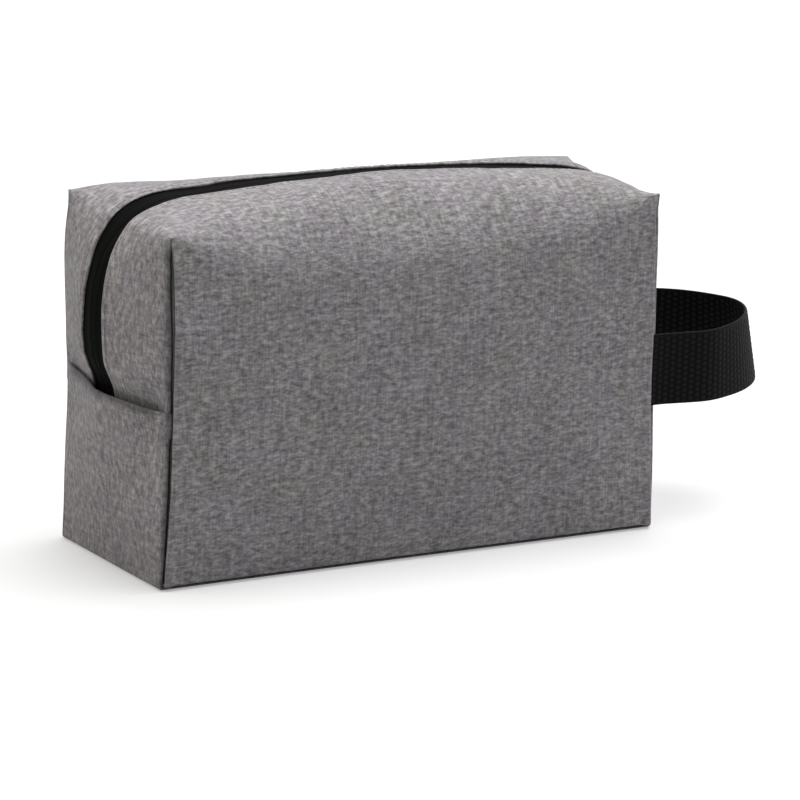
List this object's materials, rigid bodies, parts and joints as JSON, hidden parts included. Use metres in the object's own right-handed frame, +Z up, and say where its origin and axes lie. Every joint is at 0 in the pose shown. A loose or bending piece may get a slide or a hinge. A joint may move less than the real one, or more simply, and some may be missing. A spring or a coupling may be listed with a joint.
{
  "type": "toiletry bag",
  "caption": "Boxy zipped wash bag in grey cloth with a black webbing loop on one end: its zip runs over the top, its mouth opens and its loop sways.",
  "frame": {"origin": "middle of the flat underside", "axes": "+X along the bag towards the end with the loop, -Y out of the front face, +Z up"},
  "size_m": [0.3054, 0.088, 0.1506],
  "materials": {
    "heather_cloth": "grey heather plain weave, matt",
    "foam": "closed-cell foam sheet, matt",
    "lining": "thin dark lining cloth",
    "zip_tape": "black woven zip tape",
    "zip_coil": "black nylon coil",
    "slider_metal": "satin black enamel on die-cast metal",
    "webbing": "black plain-woven webbing"
  },
  "bodies": {
    "root": {"base_and_ends_cloth": "heather_cloth", "front_cloth_lower": "heather_cloth", "back_cloth_lower": "heather_cloth", "base_and_ends_foam": "foam", "front_foam_lower": "foam", "back_foam_lower": "foam", "base_and_ends_lining": "lining", "front_lining_lower": "lining", "back_lining_lower": "lining", "loop_tail_front": "webbing", "loop_tail_back": "webbing"},
    "front_half": {"front_cloth_upper": "heather_cloth", "front_foam_upper": "foam", "front_lining_upper": "lining", "zip_tape_front": "zip_tape", "zip_coil_front": "zip_coil"},
    "back_half": {"back_cloth_upper": "heather_cloth", "back_foam_upper": "foam", "back_lining_upper": "lining", "zip_tape_back": "zip_tape", "zip_coil_back": "zip_coil"},
    "slider": {"zip_slider": "slider_metal"},
    "pull": {"zip_pull": "slider_metal"},
    "front_leg": {"loop_leg_front": "webbing"},
    "front_bend": {"loop_bend_front": "webbing"},
    "back_leg": {"loop_leg_back": "webbing"},
    "back_bend": {"loop_bend_back": "webbing"}
  },
  "joints": [
    {"name": "front_mouth", "type": "hinge", "parent": "root", "child": "front_half", "pos_m": [0, -0.0442, 0.07], "axis": [1, 0, 0], "range_deg": [0, 18]},
    {"name": "back_mouth", "type": "hinge", "parent": "root", "child": "back_half", "pos_m": [0, 0.0442, 0.07], "axis": [-1, 0, 0], "range_deg": [0, 18]},
    {"name": "zip_slide", "type": "slide", "parent": "root", "child": "slider", "axis": [0, 0, 1], "range_m": [0, 0.022]},
    {"name": "pull_swing", "type": "hinge", "parent": "slider", "child": "pull", "pos_m": [0.12605, 0.0035, 0.084], "axis": [0, -1, 0], "range_deg": [0, 175]},
    {"name": "loop_sway", "type": "hinge", "parent": "root", "child": "front_leg", "pos_m": [0.11765, -0.04015, 0.067], "axis": [0, 0, 1], "range_deg": [-40, 40], "stiffness_Nm_per_rad": 0.02},
    {"name": "loop_front_knee", "type": "hinge", "parent": "front_leg", "child": "front_bend", "pos_m": [0.138, -0.0423, 0.067], "axis": [0, 0, 1], "range_deg": [-40, 40]},
    {"name": "loop_back_root", "type": "hinge", "parent": "root", "child": "back_leg", "pos_m": [0.11765, 0.04015, 0.067], "axis": [0, 0, 1], "range_deg": [-40, 40]},
    {"name": "loop_back_knee", "type": "hinge", "parent": "back_leg", "child": "back_bend", "pos_m": [0.138, 0.038, 0.067], "axis": [0, 0, 1], "range_deg": [-40, 40]}
  ],
  "couplings": [
    {"joint": "back_mouth", "follows": "front_mouth", "ratio": 1},
    {"joint": "loop_front_knee", "follows": "loop_sway", "ratio": -1},
    {"joint": "loop_back_root", "follows": "loop_sway", "ratio": 1},
    {"joint": "loop_back_knee", "follows": "loop_sway", "ratio": -1}
  ]
}
